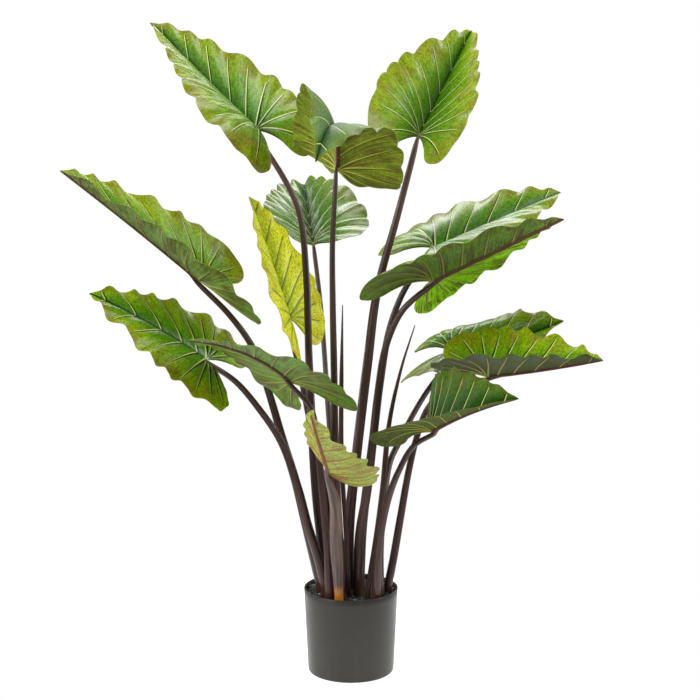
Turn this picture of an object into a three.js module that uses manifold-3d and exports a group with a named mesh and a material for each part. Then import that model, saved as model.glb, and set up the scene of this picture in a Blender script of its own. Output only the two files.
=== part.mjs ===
// Potted colocasia: a plastic planter, soil, fourteen arrow-shaped leaves on stalks, two rolled new leaves.
// Millimetres, +Z up, the pot stands on z = 0 with its axis on the origin, -Y is the front.
import * as THREE from 'three';
import Module from 'manifold-3d';
import { mergeVertices } from 'three/addons/utils/BufferGeometryUtils.js';

const wasm = await Module();
wasm.setup();

// Pot
const RIM_DIAMETER = 150;
const BASE_DIAMETER = 137;
const POT_HEIGHT = 138;
const WALL = 2.2;
const FLOOR_THICKNESS = 3;
const BASE_ROUNDING = 4;
const POT_SIDES = 56;

// Soil
const GAP = 0.3;
const SOIL_HEIGHT = 130;
const SOIL_RELIEF = 1.6;
const SOIL_RINGS = 7;
const SOIL_SIDES = 40;

// Stalks
const STALK_DEPTH = 60;
const STALK_STRAIGHT = 12;
const STALK_SIDES = 8;
const STALK_STEPS = 12;

// Leaf blades
const ROWS = 40;
const BANDS = 2;
const FAN_SHARE = 0.42;
const WAVES = 8;
const WAVE_DRIFT = 0.25;
const SCALLOP = 0.8;
const RIB_THICKNESS = 3;
const EDGE_THICKNESS = 0.9;
const VEIN_BOW = 0.1;

// Half of a blade's outline from the inner end of its lobe to the tip:
// share of the half width, then place along the midrib in lobe lengths (behind) or blade lengths (ahead)
const OUTLINE = [
  [0.28, -0.6], [0.4, -0.87], [0.58, -1], [0.78, -0.95], [0.93, -0.66], [1, -0.27], [1, 0.06],
  [0.95, 0.22], [0.82, 0.4], [0.64, 0.58], [0.43, 0.75], [0.21, 0.9], [0.08, 0.965], [0, 1],
];

// Each leaf: where the stalk meets the blade, where the tip is, and how the blade is turned and bent.
// fold is the lift of the right and the left half, seen from the stalk towards the tip, in degrees,
// and ease the share of that lift that is gone at the edge.
// foot is the place of the stalk in the soil, route the points that it passes on its way up.
const LEAVES = [
  {
    name: '01', at: [-147, 30, 864], tip: [-325, 196, 1025],
    roll: -16, width: 170, lobe: 64, arch: -2, twist: -12, droop: 52, wave: 4.5,
    fold: [27, 62], ease: [0.21, 0.63],
    foot: [-38, 16], radii: [8.5, 6, 4],
    route: [[-49, 17, 227], [-57, 18, 309], [-66, 21, 498], [-70, 24, 638], [-80, 26, 734], [-99, 28, 780]],
  },
  {
    name: '02', at: [105, 50, 852], tip: [199, 258, 1011],
    roll: 34, width: 216, lobe: 76, arch: -13, twist: -10, droop: 20, wave: 5,
    fold: [58, 45], ease: [-0.05, 0.35],
    foot: [-4, 18], radii: [8.5, 7.5, 4.5],
    route: [[-2, 22, 242], [10, 26, 359], [27, 32, 502], [41, 37, 609], [73, 43, 731]],
  },
  {
    name: '03', at: [-20, -60, 811], tip: [-49, -310, 845],
    roll: -7, width: 195, lobe: 88, arch: 100, twist: -8, droop: -65, wave: 4,
    fold: [60, 10], ease: [0.4, 0.4],
    foot: [-17, -38], radii: [8.5, 5.5, 3.6],
    route: [[-18, -38, 200], [-21, -39, 260], [-25, -42, 361], [-26, -47, 486], [-28, -53, 611], [-28, -57, 703]],
  },
  {
    name: '04', at: [-233, -38, 639], tip: [-419, -191, 822],
    roll: -40, width: 211, lobe: 88, arch: 3, twist: 17, droop: -4, wave: 4.5,
    fold: [25, 23], ease: [0.39, -0.58],
    foot: [-48, -3], radii: [8.5, 6.5, 4],
    route: [[-73, -5, 251], [-88, -8, 317], [-107, -14, 383], [-128, -20, 460], [-151, -27, 530], [-186, -33, 583]],
  },
  {
    name: '05', at: [-222, -62, 520], tip: [-393, -109, 630],
    roll: -18, width: 166, lobe: 64, arch: 12, twist: 0, droop: 17, wave: 4.5,
    fold: [32, -17], ease: [0.33, -0.1],
    foot: [-40, -24], radii: [8, 6, 4],
    route: [[-50, -26, 187], [-68, -29, 248], [-84, -33, 313], [-110, -38, 387], [-142, -40, 437], [-179, -42, 482]],
  },
  {
    name: '06', at: [-91, -112, 495], tip: [-236, -241, 582],
    roll: -8, width: 180, lobe: 87, arch: 30, twist: -6, droop: 3, wave: 3.5,
    fold: [-23, 24], ease: [0.62, 0.28],
    foot: [-34, -44], radii: [7.5, 5.5, 3.8],
    route: [[-36, -46, 205], [-41, -47, 264], [-47, -50, 332], [-53, -63, 405], [-63, -90, 453]],
  },
  {
    name: '07', at: [-98, 38, 569], tip: [-159, 36, 760],
    roll: -14, width: 171, lobe: 64, arch: 2, twist: -10, droop: 0, wave: 2.5,
    fold: [19, 11], ease: [-0.3, 0.24],
    foot: [-20, 32], radii: [7.5, 5.5, 3.8],
    route: [[-31, 36, 205], [-46, 40, 304], [-66, 44, 400], [-83, 48, 486]],
  },
  {
    name: '08', at: [-61, 160, 667], tip: [-81, 410, 741],
    roll: -11, width: 197, lobe: 77, arch: 6, twist: -12, droop: -14, wave: 4.5,
    fold: [52, 60], ease: [0.64, 0.18],
    foot: [-14, -6], radii: [7.5, 4.5, 3.6],
    route: [[-20, 10, 196], [-28, 38, 272], [-33, 70, 364], [-38, 92, 426], [-44, 120, 508], [-50, 141, 578]],
  },
  {
    name: '09', at: [131, 60, 676], tip: [349, 235, 746],
    roll: 2, width: 175, lobe: 63, arch: 2, twist: 20, droop: 16, wave: 4,
    fold: [21, 33], ease: [0.78, 0.87],
    foot: [14, 6], radii: [8, 6.5, 4],
    route: [[18, 12, 229], [27, 20, 309], [37, 28, 389], [47, 37, 468], [62, 46, 552], [83, 53, 607], [107, 58, 643]],
  },
  {
    name: '10', at: [126, -30, 636], tip: [310, -177, 750],
    roll: -10, width: 189, lobe: 89, arch: -1, twist: 11, droop: 29, wave: 3.5,
    fold: [43, 10], ease: [0.79, 0.72],
    foot: [11, -18], radii: [8, 6.5, 4.2],
    route: [[14, -20, 230], [25, -25, 300], [34, -29, 381], [42, -32, 461], [54, -35, 536], [77, -37, 589], [101, -37, 614]],
  },
  {
    name: '11', at: [171, 150, 492], tip: [341, 76, 557],
    roll: 24, width: 162, lobe: 82, arch: -19, twist: 17, droop: 40, wave: 3.5,
    fold: [14, 71], ease: [0.26, 1.17],
    foot: [46, -24], radii: [7, 5, 3.8],
    route: [[46, -4, 199], [52, 24, 267], [63, 56, 330], [81, 80, 362], [98, 100, 392], [124, 125, 430]],
  },
  {
    name: '12', at: [214, 5, 480], tip: [389, -47, 516],
    roll: 7, width: 172, lobe: 74, arch: -5, twist: 5, droop: 2, wave: 4,
    fold: [45, 44], ease: [0.14, -0.02],
    foot: [59, -6], radii: [7, 5.5, 3.8],
    route: [[67, -3, 183], [79, 1, 255], [92, 4, 331], [105, 6, 386], [122, 8, 430], [159, 8, 466]],
  },
  {
    name: '13', at: [124, -101, 416], tip: [236, -315, 513],
    roll: 60, width: 178, lobe: 70, arch: 13, twist: 23, droop: 38, wave: 3.5,
    fold: [83, 15], ease: [0.19, 0.08],
    foot: [40, -46], radii: [7.5, 5.5, 3.8],
    route: [[41, -51, 189], [47, -58, 247], [58, -66, 301], [74, -79, 349], [96, -91, 391]],
  },
  {
    name: '14', at: [-34, -150, 363], tip: [-57, -305, 487],
    roll: -54, width: 144, lobe: 76, arch: -2, twist: -20, droop: -22, wave: 4,
    fold: [4, 30], ease: [0.35, -0.94],
    foot: [-19, -57], radii: [7, 9.5, 10.5, 8.5, 3.5],
    route: [[-21, -63, 190], [-23, -76, 237], [-23, -91, 273], [-25, -112, 309]],
  },
];

// Rolled new leaves that still stand upright: foot in the soil, route, radii from the foot to the tip
const SPEARS = [
  { name: 'left', foot: [-3, -22], route: [[-9, -22, 250], [-15, -21, 360], [-15, -20, 460], [-13, -20, 598]],
    radii: [4, 3.6, 4, 3.4, 0.8] },
  { name: 'right', foot: [26, -38], route: [[38, -27, 215], [50, -24, 308], [60, -24, 413], [78, -24, 498], [99, -24, 567]],
    radii: [4.6, 4.2, 4.4, 3, 0.8] },
];

const MATERIALS = {
  pot: new THREE.MeshStandardMaterial({ color: 0x47453f, roughness: 0.42, metalness: 0 }),
  soil: new THREE.MeshStandardMaterial({ color: 0x262a20, roughness: 0.95, metalness: 0 }),
  leaf: new THREE.MeshStandardMaterial({ color: 0x4f7d22, roughness: 0.45, metalness: 0 }),
  yellowLeaf: new THREE.MeshStandardMaterial({ color: 0xa8b814, roughness: 0.5, metalness: 0 }),
  youngLeaf: new THREE.MeshStandardMaterial({ color: 0x93b13a, roughness: 0.5, metalness: 0 }),
  stalk: new THREE.MeshStandardMaterial({ color: 0x33231f, roughness: 0.4, metalness: 0 }),
  spear: new THREE.MeshStandardMaterial({ color: 0x4a3327, roughness: 0.5, metalness: 0 }),
};

const radians = THREE.MathUtils.degToRad;
const vector = (values) => new THREE.Vector3(...values);

function meshFrom(name, positions, triangles, material) {
  const geometry = new THREE.BufferGeometry();
  geometry.setAttribute('position', new THREE.Float32BufferAttribute(positions, 3));
  geometry.setIndex(triangles);
  geometry.computeVertexNormals();
  const mesh = new THREE.Mesh(geometry, material);
  mesh.name = name;
  return mesh;
}

// Turns a closed geometry into a body that can be cut
function bodyOf(geometry) {
  const bare = new THREE.BufferGeometry();
  bare.setAttribute('position', geometry.getAttribute('position'));
  if (geometry.index) bare.setIndex(geometry.index);
  const welded = mergeVertices(bare, 1e-4);
  return new wasm.Manifold(new wasm.Mesh({
    numProp: 3,
    vertProperties: Float32Array.from(welded.getAttribute('position').array),
    triVerts: Uint32Array.from(welded.index.array),
  }));
}

// Pot: a tapered cup with a rounded bottom edge
function innerRadiusAt(z) {
  const outer = BASE_DIAMETER / 2 + ((RIM_DIAMETER - BASE_DIAMETER) / 2) * (z / POT_HEIGHT);
  return outer - WALL;
}

function makePot() {
  const base = BASE_DIAMETER / 2;
  const rim = RIM_DIAMETER / 2;
  const profile = [new THREE.Vector2(0, 0)];
  const roundingSteps = 4;
  for (let i = 0; i <= roundingSteps; i += 1) {
    const angle = (Math.PI / 2) * (i / roundingSteps);
    profile.push(new THREE.Vector2(
      base - BASE_ROUNDING * (1 - Math.sin(angle)),
      BASE_ROUNDING * (1 - Math.cos(angle)),
    ));
  }
  profile.push(new THREE.Vector2(rim, POT_HEIGHT - 0.6));
  profile.push(new THREE.Vector2(rim - 0.6, POT_HEIGHT));
  profile.push(new THREE.Vector2(rim - WALL + 0.4, POT_HEIGHT));
  profile.push(new THREE.Vector2(rim - WALL, POT_HEIGHT - 0.4));
  profile.push(new THREE.Vector2(innerRadiusAt(FLOOR_THICKNESS), FLOOR_THICKNESS));
  profile.push(new THREE.Vector2(0, FLOOR_THICKNESS));
  const geometry = new THREE.LatheGeometry(profile, POT_SIDES);
  geometry.rotateX(Math.PI / 2);
  const welded = mergeVertices(stripped(geometry), 1e-4);
  return meshFrom('pot', welded.getAttribute('position').array, dropFlat(welded.index.array), MATERIALS.pot);
}

function stripped(geometry) {
  const bare = new THREE.BufferGeometry();
  bare.setAttribute('position', geometry.getAttribute('position'));
  bare.setIndex(geometry.index);
  return bare;
}

// Leaves out triangles with a repeated corner, which the welding makes at the axis
function dropFlat(indices) {
  const kept = [];
  for (let i = 0; i < indices.length; i += 3) {
    const [a, b, c] = [indices[i], indices[i + 1], indices[i + 2]];
    if (a !== b && b !== c && c !== a) kept.push(a, b, c);
  }
  return kept;
}

// Closed body through rings of equal length, with a flat fan at each end
function loft(name, rings, material) {
  const sides = rings[0].length;
  const positions = [];
  const triangles = [];
  rings.forEach((ring) => ring.forEach((point) => positions.push(point.x, point.y, point.z)));
  for (let r = 0; r + 1 < rings.length; r += 1) {
    for (let s = 0; s < sides; s += 1) {
      const a = r * sides + s;
      const b = r * sides + ((s + 1) % sides);
      triangles.push(a, b, b + sides, a, b + sides, a + sides);
    }
  }
  [0, rings.length - 1].forEach((end) => {
    const centre = rings[end].reduce((sum, point) => sum.add(point), new THREE.Vector3());
    centre.divideScalar(sides);
    const middle = positions.length / 3;
    positions.push(centre.x, centre.y, centre.z);
    for (let s = 0; s < sides; s += 1) {
      const a = end * sides + s;
      const b = end * sides + ((s + 1) % sides);
      if (end === 0) triangles.push(middle, b, a);
      else triangles.push(middle, a, b);
    }
  });
  return meshFrom(name, positions, triangles, material);
}

// Ring of points round a centre, square to a direction and without twist from ring to ring
function ringAt(centre, direction, radius) {
  const sideways = new THREE.Vector3(1, 0, 0);
  sideways.addScaledVector(direction, -sideways.dot(direction)).normalize();
  const third = new THREE.Vector3().crossVectors(direction, sideways);
  const ring = [];
  for (let s = 0; s < STALK_SIDES; s += 1) {
    const angle = (2 * Math.PI * s) / STALK_SIDES;
    ring.push(centre.clone()
      .addScaledVector(sideways, radius * Math.cos(angle))
      .addScaledVector(third, radius * Math.sin(angle)));
  }
  return ring;
}

// Value at share t of the way through evenly spaced values
function through(values, t) {
  const place = t * (values.length - 1);
  const i = Math.min(Math.floor(place), values.length - 2);
  return values[i] + (values[i + 1] - values[i]) * (place - i);
}

// The part of a stalk that stands in the soil, straight up and of one radius
function footRings(foot, radius) {
  const up = new THREE.Vector3(0, 0, 1);
  const bottom = new THREE.Vector3(foot[0], foot[1], SOIL_HEIGHT - STALK_DEPTH);
  const top = new THREE.Vector3(foot[0], foot[1], SOIL_HEIGHT + STALK_STRAIGHT);
  return [ringAt(bottom, up, radius), ringAt(top, up, radius)];
}

function stemRings(foot, route, radii, end) {
  const start = new THREE.Vector3(foot[0], foot[1], SOIL_HEIGHT + STALK_STRAIGHT);
  const points = [start, ...route.map(vector)];
  if (end) points.push(end);
  const curve = new THREE.CatmullRomCurve3(points, false, 'centripetal');
  const rings = footRings(foot, radii[0]);
  for (let i = 1; i <= STALK_STEPS; i += 1) {
    const t = i / STALK_STEPS;
    rings.push(ringAt(curve.getPointAt(t), curve.getTangentAt(t), through(radii, t)));
  }
  return { rings, arrival: curve.getTangentAt(1) };
}

// A blade's own directions: along the midrib, out of the upper face and to the right
function bladeFrame(leaf) {
  const at = vector(leaf.at);
  const chord = vector(leaf.tip).sub(at);
  const span = chord.length();
  const ahead = chord.divideScalar(span);
  const face = new THREE.Vector3(0, 0, 1).addScaledVector(ahead, -ahead.z).normalize();
  face.applyAxisAngle(ahead, radians(leaf.roll));
  const right = new THREE.Vector3().crossVectors(ahead, face);
  const bend = radians(leaf.arch) || 1e-3;
  const length = (span * (bend / 2)) / Math.sin(bend / 2);
  return { at, ahead, face, right, bend, length };
}

// Directions and place on the bent midrib line, also behind the stalk, where the lobes hang from it
function midribAt(leaf, frame, y) {
  const droop = radians(leaf.droop) || 1e-3;
  const curvature = y >= 0 ? frame.bend / frame.length : droop / leaf.lobe;
  const start = frame.bend / 2;
  const slope = start - curvature * y;
  const forward = (Math.sin(start) - Math.sin(slope)) / curvature;
  const rise = (Math.cos(slope) - Math.cos(start)) / curvature;
  const ahead = frame.ahead.clone().multiplyScalar(Math.cos(slope))
    .addScaledVector(frame.face, Math.sin(slope));
  const face = frame.face.clone().multiplyScalar(Math.cos(slope))
    .addScaledVector(frame.ahead, -Math.sin(slope));
  const twist = radians(leaf.twist) * (y / frame.length);
  const right = frame.right.clone().applyAxisAngle(ahead, twist);
  face.applyAxisAngle(ahead, twist);
  const place = frame.at.clone().addScaledVector(frame.ahead, forward).addScaledVector(frame.face, rise);
  return { place, ahead, face, right };
}

// Edge of the right half in the flat blade, evenly spaced from the lobe to the tip
function flatEdge(leaf, frame) {
  const corners = OUTLINE.map(([across, along]) => new THREE.Vector3(
    (across * leaf.width) / 2,
    along < 0 ? along * leaf.lobe : along * frame.length,
    0,
  ));
  const curve = new THREE.CatmullRomCurve3(corners, false, 'centripetal');
  curve.arcLengthDivisions = 400;
  return Array.from({ length: ROWS + 1 }, (_, i) => curve.getPointAt(i / ROWS));
}

// Rise and fall of the edge: broad lobes with narrow notches, uneven along the leaf, calmer round the
// basal lobes, nothing at both ends. lead is how far ahead in the wave it is read.
function ripple(leaf, side, share, lead) {
  const own = Number(leaf.name) * 1.9 + (side > 0 ? 0 : 2.4);
  const ends = Math.min(1, share / 0.12, (1 - share) / 0.08);
  const calm = 0.35 + 0.65 * THREE.MathUtils.smoothstep(share, 0.2, 0.45);
  const uneven = 1 + 0.35 * Math.sin(10.7 * share + own);
  const turn = 2 * Math.PI * (WAVES * share + WAVE_DRIFT * Math.sin(13 * share + own)) + own + lead;
  return ends * calm * uneven * (Math.cos(turn) - 0.2 * Math.cos(2 * turn));
}

function bladePoint(leaf, frame, side, edge, row, band) {
  const share = row / ROWS;
  const past = Math.max(0, (share - FAN_SHARE) / (1 - FAN_SHARE));
  const root = new THREE.Vector3(0, frame.length * past ** 1.6, 0);
  const reach = edge[row].clone().sub(root);
  const size = reach.length();
  const swell = ripple(leaf, side, share, 0);
  const scallop = SCALLOP * leaf.wave * ripple(leaf, side, share, Math.PI / 2);
  if (size > 0) reach.multiplyScalar(1 + scallop / Math.max(size, 4 * leaf.wave));
  const q = band / BANDS;
  const flat = root.addScaledVector(reach, q);
  flat.y += VEIN_BOW * size * q * (1 - q);
  const line = midribAt(leaf, frame, flat.y);
  const across = Math.abs(flat.x);
  const half = side > 0 ? 0 : 1;
  const lift = radians(leaf.fold[half]) * (1 - (leaf.ease[half] * across) / (leaf.width / 2));
  return line.place
    .addScaledVector(line.right, side * across * Math.cos(lift))
    .addScaledVector(line.face, across * Math.sin(lift) + leaf.wave * swell * q ** 3);
}

// Corners of the blade's middle surface. Both halves share the midrib, and the rows of the lobes start
// from the one corner where the stalk is.
function bladeGrid(leaf) {
  const frame = bladeFrame(leaf);
  const edge = flatEdge(leaf, frame);
  const corners = [];
  const thickness = [];
  const shared = new Map();
  const index = (side, row, band) => {
    let key = `${side} ${row} ${band}`;
    if (row === ROWS) key = 'tip';
    else if (band === 0) key = row / ROWS <= FAN_SHARE ? 'stalk' : `rib ${row}`;
    if (!shared.has(key)) {
      shared.set(key, corners.length);
      corners.push(bladePoint(leaf, frame, side, edge, row, band));
      const q = band / BANDS;
      const thinning = key === 'tip' ? 0.2 : 1 - 0.5 * (row / ROWS);
      thickness.push(EDGE_THICKNESS + (RIB_THICKNESS - EDGE_THICKNESS) * (1 - q) ** 3 * thinning);
    }
    return shared.get(key);
  };
  const triangles = [];
  [1, -1].forEach((side) => {
    for (let row = 0; row < ROWS; row += 1) {
      for (let band = 0; band < BANDS; band += 1) {
        const a = index(side, row, band);
        const b = index(side, row, band + 1);
        const c = index(side, row + 1, band + 1);
        const d = index(side, row + 1, band);
        [[a, b, c], [a, c, d]].forEach(([i, j, k]) => {
          if (i === j || j === k || k === i) return;
          triangles.push(side > 0 ? [i, j, k] : [i, k, j]);
        });
      }
    }
  });
  const border = [];
  for (let band = 0; band < BANDS; band += 1) border.push(index(1, 0, band));
  for (let row = 0; row < ROWS; row += 1) border.push(index(1, row, BANDS));
  border.push(index(1, ROWS, 0));
  for (let row = ROWS - 1; row >= 0; row -= 1) border.push(index(-1, row, BANDS));
  for (let band = BANDS - 1; band > 0; band -= 1) border.push(index(-1, 0, band));
  return { frame, corners, thickness, triangles, border };
}

function cornerNormals(corners, triangles) {
  const normals = corners.map(() => new THREE.Vector3());
  triangles.forEach(([i, j, k]) => {
    const across = corners[j].clone().sub(corners[i]);
    const up = corners[k].clone().sub(corners[i]);
    const area = across.cross(up);
    [i, j, k].forEach((corner) => normals[corner].add(area));
  });
  return normals.map((normal) => normal.normalize());
}

function makeBlade(leaf, material) {
  const grid = bladeGrid(leaf);
  const normals = cornerNormals(grid.corners, grid.triangles);
  const count = grid.corners.length;
  const positions = [];
  [0.5, -0.5].forEach((share) => {
    grid.corners.forEach((corner, i) => {
      const point = corner.clone().addScaledVector(normals[i], share * grid.thickness[i]);
      positions.push(point.x, point.y, point.z);
    });
  });
  const triangles = [];
  grid.triangles.forEach(([i, j, k]) => {
    triangles.push(i, j, k);
    triangles.push(i + count, k + count, j + count);
  });
  grid.border.forEach((a, i) => {
    const b = grid.border[(i + 1) % grid.border.length];
    triangles.push(b, a, a + count, b, a + count, b + count);
  });
  return meshFrom(`leaf_${leaf.name}`, positions, triangles, material);
}

// A stalk ends just below the blade's rib, halfway between the two halves. Where it arrives steeply its
// end is cut along the blade, otherwise square to itself.
function makeStalk(leaf) {
  const frame = bladeFrame(leaf);
  const rib = midribAt(leaf, frame, 0);
  const lean = radians((leaf.fold[0] - leaf.fold[1]) / 2);
  const below = rib.right.multiplyScalar(Math.sin(lean)).addScaledVector(rib.face, -Math.cos(lean));
  const neck = leaf.radii[leaf.radii.length - 1];
  const last = vector(leaf.route[leaf.route.length - 1]);
  const coming = frame.at.clone().sub(last).normalize();
  const steep = -coming.dot(below);
  const mitred = steep > 0.5;
  const tilt = mitred ? 0 : Math.sqrt(1 - steep ** 2);
  const clearance = RIB_THICKNESS / 2 + GAP + neck * tilt;
  const end = frame.at.clone().addScaledVector(below, clearance);
  const { rings, arrival } = stemRings(leaf.foot, leaf.route, leaf.radii, end);
  if (mitred) {
    const along = arrival.dot(below);
    rings[rings.length - 1].forEach((point) => {
      const off = point.clone().sub(end).dot(below);
      point.addScaledVector(arrival, -off / along);
    });
  }
  return loft(`stalk_${leaf.name}`, rings, MATERIALS.stalk);
}

function makeSpear(spear) {
  const { rings } = stemRings(spear.foot, spear.route, spear.radii);
  return loft(`spear_${spear.name}`, rings, MATERIALS.spear);
}

// Soil: fills the pot to just below the rim, uneven on top, with a plain hole for each stalk
function soilTop(x, y) {
  const heaps = Math.sin(0.13 * x + 0.6) * Math.cos(0.11 * y) + 0.6 * Math.sin(0.24 * y + 0.17 * x);
  return SOIL_HEIGHT + SOIL_RELIEF * heaps;
}

function makeSoil() {
  const bottom = FLOOR_THICKNESS + GAP;
  const outer = innerRadiusAt(SOIL_HEIGHT - 4) - GAP;
  const positions = [0, 0, soilTop(0, 0)];
  const triangles = [];
  const around = (radius, height) => {
    for (let s = 0; s < SOIL_SIDES; s += 1) {
      const angle = (2 * Math.PI * s) / SOIL_SIDES;
      const x = radius * Math.cos(angle);
      const y = radius * Math.sin(angle);
      positions.push(x, y, height ?? soilTop(x, y));
    }
  };
  for (let r = 1; r <= SOIL_RINGS; r += 1) around((outer * r) / SOIL_RINGS);
  around(innerRadiusAt(bottom) - GAP, bottom);
  const ringStart = (ring) => 1 + ring * SOIL_SIDES;
  for (let s = 0; s < SOIL_SIDES; s += 1) {
    const next = (s + 1) % SOIL_SIDES;
    triangles.push(0, 1 + s, 1 + next);
    for (let r = 0; r < SOIL_RINGS; r += 1) {
      const a = ringStart(r) + s;
      const b = ringStart(r) + next;
      triangles.push(a, a + SOIL_SIDES, b + SOIL_SIDES, a, b + SOIL_SIDES, b);
    }
  }
  const underside = positions.length / 3;
  positions.push(0, 0, bottom);
  for (let s = 0; s < SOIL_SIDES; s += 1) {
    const next = (s + 1) % SOIL_SIDES;
    triangles.push(underside, ringStart(SOIL_RINGS) + next, ringStart(SOIL_RINGS) + s);
  }
  let soil = bodyOf(meshFrom('soil', positions, triangles, MATERIALS.soil).geometry);
  [...LEAVES, ...SPEARS].forEach(({ foot, radii }) => {
    const height = STALK_DEPTH + GAP + 30;
    const hole = new THREE.CylinderGeometry(radii[0] + GAP, radii[0] + GAP, height, 2 * STALK_SIDES);
    hole.rotateX(Math.PI / 2);
    hole.translate(foot[0], foot[1], SOIL_HEIGHT - STALK_DEPTH - GAP + height / 2);
    soil = soil.subtract(bodyOf(hole));
  });
  const cut = soil.getMesh();
  return meshFrom('soil', cut.vertProperties, Array.from(cut.triVerts), MATERIALS.soil);
}

function makePlant() {
  const plant = new THREE.Group();
  plant.name = 'potted_colocasia';
  plant.add(makePot(), makeSoil());
  LEAVES.forEach((leaf) => {
    const shade = { '07': MATERIALS.yellowLeaf, '14': MATERIALS.youngLeaf }[leaf.name] ?? MATERIALS.leaf;
    plant.add(makeBlade(leaf, shade), makeStalk(leaf));
  });
  SPEARS.forEach((spear) => plant.add(makeSpear(spear)));
  return plant;
}

export default makePlant();
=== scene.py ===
# Potted colocasia: fine leaves, stalks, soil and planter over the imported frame.
# Sizes of the plant are named in millimetres, as in the part's source, and meshes are made in metres.
import math
import random

import bpy
import numpy as np
from mathutils import Matrix, Vector


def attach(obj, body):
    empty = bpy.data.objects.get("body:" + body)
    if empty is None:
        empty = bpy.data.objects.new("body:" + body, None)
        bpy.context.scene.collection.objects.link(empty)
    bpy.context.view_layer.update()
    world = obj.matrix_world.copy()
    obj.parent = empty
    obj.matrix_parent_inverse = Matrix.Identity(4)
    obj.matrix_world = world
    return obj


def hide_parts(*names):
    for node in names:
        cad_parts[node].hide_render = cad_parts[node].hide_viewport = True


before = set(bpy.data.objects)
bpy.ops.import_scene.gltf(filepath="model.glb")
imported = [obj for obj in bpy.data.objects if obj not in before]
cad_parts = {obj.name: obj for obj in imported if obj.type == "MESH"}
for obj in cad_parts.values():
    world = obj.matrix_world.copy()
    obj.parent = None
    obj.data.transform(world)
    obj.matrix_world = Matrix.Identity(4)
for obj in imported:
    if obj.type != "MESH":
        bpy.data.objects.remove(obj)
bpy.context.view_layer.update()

MM = 0.001

# Camera and floor, in metres and degrees, the lens in millimetres
CAMERA_PLACE = (-0.0015, -3.0, 1.085)
CAMERA_TILT = 79.4
LENS = 100.3
FLOOR_RADIUS = 0.5

# Softboxes: name, place, target, width and height in metres, power in watts
SOFTBOXES = [
    ("overhead", (-0.2, 0.2, 3.2), (0, 0, 0.5), 1.6, 1.2, 35),
    ("back", (0, 2.3, 2.3), (0, 0, 0.6), 1.8, 0.8, 29),
    ("left window", (-2.4, -1.6, 1.5), (0, 0, 0.6), 1.2, 2.2, 72),
    ("right window", (2.6, -0.9, 1.5), (0, 0, 0.6), 1.0, 2.2, 44),
    ("left edge", (-1.7, 1.2, 0.9), (0, 0, 0.45), 0.4, 1.8, 18),
    ("right edge", (1.7, 1.2, 0.9), (0, 0, 0.45), 0.4, 1.8, 18),
]

# Planter and soil, in millimetres
RIM_RADIUS = 75
BASE_RADIUS = 68.5
POT_HEIGHT = 138
WALL = 2.2
FLOOR_THICKNESS = 3
BASE_ROUNDING = 4
ROUNDING_STEPS = 6
WALL_STEPS = 12
LIP = 0.8
POT_SIDES = 160
SOIL_HEIGHT = 130
SOIL_RELIEF = 1.6
SOIL_SIDES = 72
SOIL_RINGS = 22
SOIL_RING_WIDTH = 3.0
GAP = 0.3

# Crumbs on the soil
CRUMBS = 1500
CRUMB_SHAPES = 5
CRUMB_CUTS = 5
CRUMB_CUT_PLACE = 0.62
CRUMB_SIZES = (0.7, 0.9, 1.1, 1.4, 1.9)

# Stalks
STALK_DEPTH = 60
STALK_STRAIGHT = 12
STALK_SIDES = 24
STALK_RINGS = 64
TAIL_RINGS = 14
STALK_GROOVE = 0.13
SPEAR_GROOVE = 0.3
GRAIN_RADIUS = 7

# Points that a line has between two of the places that it goes through
SPAN_SAMPLES = 24

# Blades
VEINS = 10
WAVES = 8
WAVE_DRIFT = 0.25
SCALLOP = 0.8
FAN_SHARE = 0.42
VEIN_BOW = 0.1
PLEAT_HEIGHT = 2.3
RIB_CREASE = 0.4
RIB_CREASE_REACH = 16
EDGE_THICKNESS = 0.8
RIB_THICKNESS = 2.6
NO_RIB = 20

# The blade's UV map counts the side veins, from 0 on the right half and from here on the left one
LEFT_HALF_UV = 20

# Half of a blade's outline: share of the half width, then lobe lengths (behind) or blade lengths (ahead)
OUTLINE = [
    (0.28, -0.6), (0.4, -0.87), (0.58, -1), (0.78, -0.95), (0.93, -0.66), (1, -0.27), (1, 0.06),
    (0.95, 0.22), (0.82, 0.4), (0.64, 0.58), (0.43, 0.75), (0.21, 0.9), (0.08, 0.965), (0, 1),
]

# Places of the rows between two side veins, close together where the vein stands up
ROW_STEPS = (-0.5, -0.4, -0.3, -0.21, -0.14, -0.085, -0.045, -0.02,
             0, 0.02, 0.045, 0.085, 0.14, 0.21, 0.3, 0.4)

# Places of the bands from the midrib to the edge, close together beside the midrib
BAND_STEPS = (0, 0.009, 0.018, 0.028, 0.042, 0.06, 0.09, 0.13, 0.18, 0.24, 0.31, 0.38,
              0.45, 0.52, 0.59, 0.66, 0.73, 0.8, 0.86, 0.91, 0.95, 0.98, 1)

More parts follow.
